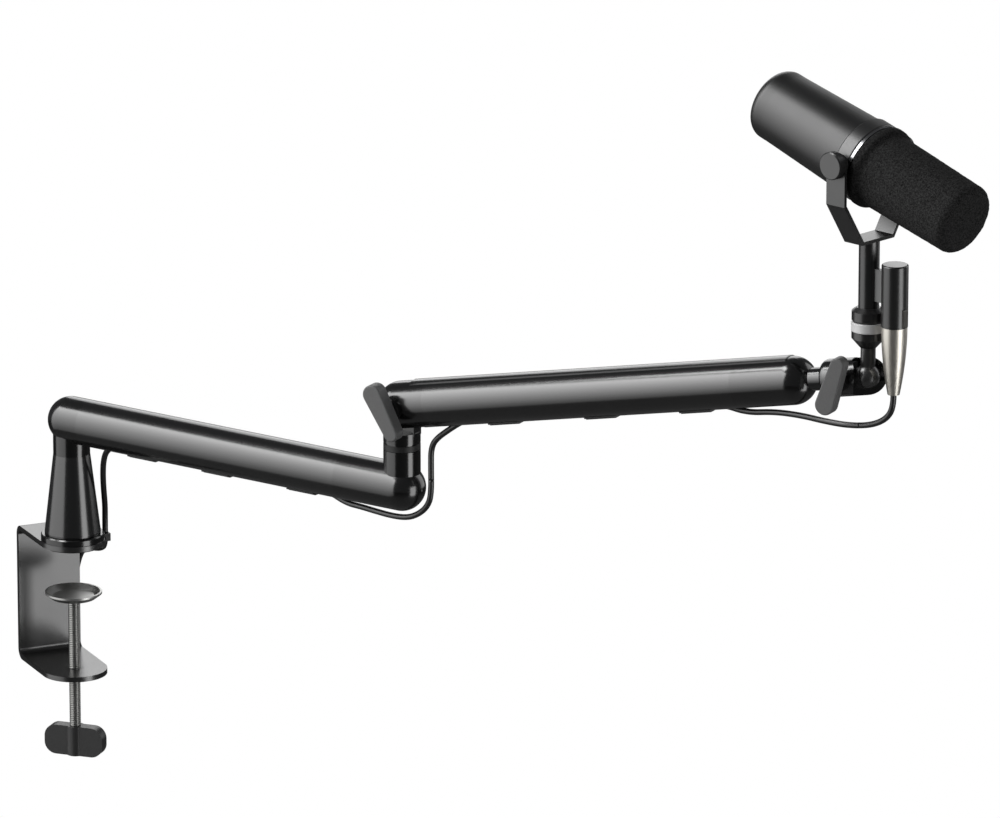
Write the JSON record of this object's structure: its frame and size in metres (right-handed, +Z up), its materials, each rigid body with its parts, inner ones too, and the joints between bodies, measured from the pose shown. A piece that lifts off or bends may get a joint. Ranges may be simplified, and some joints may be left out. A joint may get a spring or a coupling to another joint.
{
  "type": "microphone on a desk boom arm",
  "caption": "End-address microphone with a foam windscreen in a yoke on a ball head, at the end of a low-profile boom arm of round tube with a screw desk clamp and a lead.",
  "frame": {"origin": "on the riser's axis in the plane of the desk top, under the clamp's upper jaw", "axes": "+Z up along the riser; the clamp opens towards -Y; the lower tube leaves 59.5 degrees from +X towards -Y"},
  "size_m": [0.4777, 0.7663, 0.6196],
  "materials": {
    "satin_black_coat": "satin powder coat",
    "clamp_coat": "satin powder coat",
    "black_plastic": "moulded",
    "knob_plastic": "moulded",
    "black_metal": "satin",
    "yoke_coat": "satin",
    "ball_steel": "black polished",
    "bright_steel": "polished",
    "rubber": "matt",
    "silver_metal": "satin",
    "grey_metal": "satin",
    "socket_metal": "satin",
    "plug_metal": "satin nickel",
    "insert_plastic": "moulded",
    "mic_coat": "satin anodised",
    "chrome_trim": "polished",
    "foam": "open-cell foam",
    "cage_metal": "satin",
    "capsule_metal": "satin",
    "board": "laminate",
    "cord_jacket": "matt"
  },
  "bodies": {
    "clamp": {"clamp_bracket": "clamp_coat", "jaw_pad": "rubber", "base_ring": "satin_black_coat", "pivot_pin": "bright_steel", "thread_bush": "black_metal", "cable_clip": "black_plastic", "cord_tail": "cord_jacket", "cord_hank": "cord_jacket", "end_plug": "plug_metal"},
    "clamp_pad": {"pressure_pad": "bright_steel"},
    "clamp_screw": {"screw_rod": "bright_steel", "screw_handle": "black_plastic"},
    "lower_arm": {"riser_cone": "satin_black_coat", "riser_bushes": "black_plastic", "shoulder_casting": "satin_black_coat", "lower_tube": "satin_black_coat", "elbow_casting": "satin_black_coat", "lower_clips": "black_plastic", "cord_lower_run": "cord_jacket", "cord_base_loop": "cord_jacket"},
    "elbow": {"elbow_tongue": "satin_black_coat", "swivel_ring": "black_plastic", "cord_mid_low": "cord_jacket"},
    "upper_arm": {"fork_casting": "satin_black_coat", "upper_tube": "satin_black_coat", "nose_casting": "satin_black_coat", "top_cover": "satin_black_coat", "upper_clips": "black_plastic", "hinge_bolt": "bright_steel", "friction_washers": "rubber", "head_neck": "satin_black_coat", "head_housing": "satin_black_coat", "ball_seat": "black_plastic", "cord_upper_run": "cord_jacket", "cord_mid_high": "cord_jacket"},
    "tension_knob": {"tension_knob": "knob_plastic"},
    "head_knob": {"head_knob": "knob_plastic"},
    "ball_stud": {"ball_stud": "ball_steel", "cord_mic_low": "cord_jacket"},
    "mic_mount": {"adapter_cone": "black_metal", "lock_ring": "silver_metal", "mount_post": "black_metal", "yoke": "yoke_coat", "connector_plate": "grey_metal", "xlr_housing": "socket_metal", "xlr_insert": "insert_plastic", "plug_shell": "plug_metal", "cord_mic_high": "cord_jacket"},
    "latch_tab": {"latch_tab": "silver_metal"},
    "lock_nut": {"lock_nut": "black_metal"},
    "yoke_knob_left": {"yoke_knob_left": "black_metal"},
    "yoke_knob_right": {"yoke_knob_right": "black_metal"},
    "microphone": {"mic_body": "mic_coat", "rear_cap": "black_metal", "collar": "mic_coat", "trim_ring": "chrome_trim", "windscreen": "foam", "inner_cage": "cage_metal", "capsule": "capsule_metal", "circuit_board": "board"}
  },
  "joints": [
    {"name": "screw_turn", "type": "hinge", "parent": "clamp_pad", "child": "clamp_screw", "pos_m": [0, 0, -0.1], "axis": [0, 0, 1], "range_deg": [-10830, 7950]},
    {"name": "pad_travel", "type": "slide", "parent": "clamp", "child": "clamp_pad", "axis": [0, 0, 1], "range_m": [-0.0451, 0.0331]},
    {"name": "base_swivel", "type": "hinge", "parent": "clamp", "child": "lower_arm", "pos_m": [0, 0, 0.05], "axis": [0, 0, 1], "range_deg": [-170, 170], "deforming": ["cord_base_loop"]},
    {"name": "elbow_swivel", "type": "hinge", "parent": "lower_arm", "child": "elbow", "pos_m": [0.15921, -0.27029, 0.1006], "axis": [0, 0, 1], "range_deg": [-150, 150], "deforming": ["cord_mid_low"]},
    {"name": "arm_tilt", "type": "hinge", "parent": "elbow", "child": "upper_arm", "pos_m": [0.15921, -0.27029, 0.1645], "axis": [-0.7923, -0.6101, 0], "range_deg": [-25, 49], "deforming": ["cord_mid_high"]},
    {"name": "tension_knob_turn", "type": "hinge", "parent": "upper_arm", "child": "tension_knob", "pos_m": [0.15921, -0.27029, 0.1645], "axis": [-0.7923, -0.6101, 0], "range_deg": [0, 180]},
    {"name": "head_knob_turn", "type": "hinge", "parent": "upper_arm", "child": "head_knob", "pos_m": [0.38401, -0.5622, 0.23545], "axis": [-0.7923, -0.6101, 0], "range_deg": [0, 180]},
    {"name": "ball_tilt", "type": "hinge", "parent": "upper_arm", "child": "ball_stud", "pos_m": [0.3945, -0.57581, 0.23876], "axis": [0.7923, 0.6101, 0], "range_deg": [-18, 62], "deforming": ["cord_mic_low"]},
    {"name": "mic_pan", "type": "hinge", "parent": "ball_stud", "child": "mic_mount", "pos_m": [0.3945, -0.57581, 0.23876], "axis": [0, 0, 1], "range_deg": [-32, 100], "deforming": ["cord_mic_high"]},
    {"name": "lock_nut_turn", "type": "hinge", "parent": "mic_mount", "child": "lock_nut", "pos_m": [0.3945, -0.57581, 0.28576], "axis": [0, 0, 1], "range_deg": [-180, 180]},
    {"name": "latch_press", "type": "slide", "parent": "mic_mount", "child": "latch_tab", "axis": [-0.3746, 0.9272, 0], "range_m": [0, 0.0012], "stiffness_N_per_m": 800},
    {"name": "yoke_knob_left_turn", "type": "hinge", "parent": "mic_mount", "child": "yoke_knob_left", "pos_m": [0.3945, -0.57581, 0.40316], "axis": [0.9272, 0.3746, 0], "range_deg": [-180, 180]},
    {"name": "yoke_knob_right_turn", "type": "hinge", "parent": "mic_mount", "child": "yoke_knob_right", "pos_m": [0.3945, -0.57581, 0.40316], "axis": [-0.9272, -0.3746, 0], "range_deg": [-180, 180]},
    {"name": "mic_tilt", "type": "hinge", "parent": "mic_mount", "child": "microphone", "pos_m": [0.3945, -0.57581, 0.40316], "axis": [-0.9272, -0.3746, 0], "range_deg": [-23, 60]}
  ],
  "couplings": [
    {"joint": "screw_turn", "follows": "pad_travel", "rad_per_m": 4188.8}
  ]
}
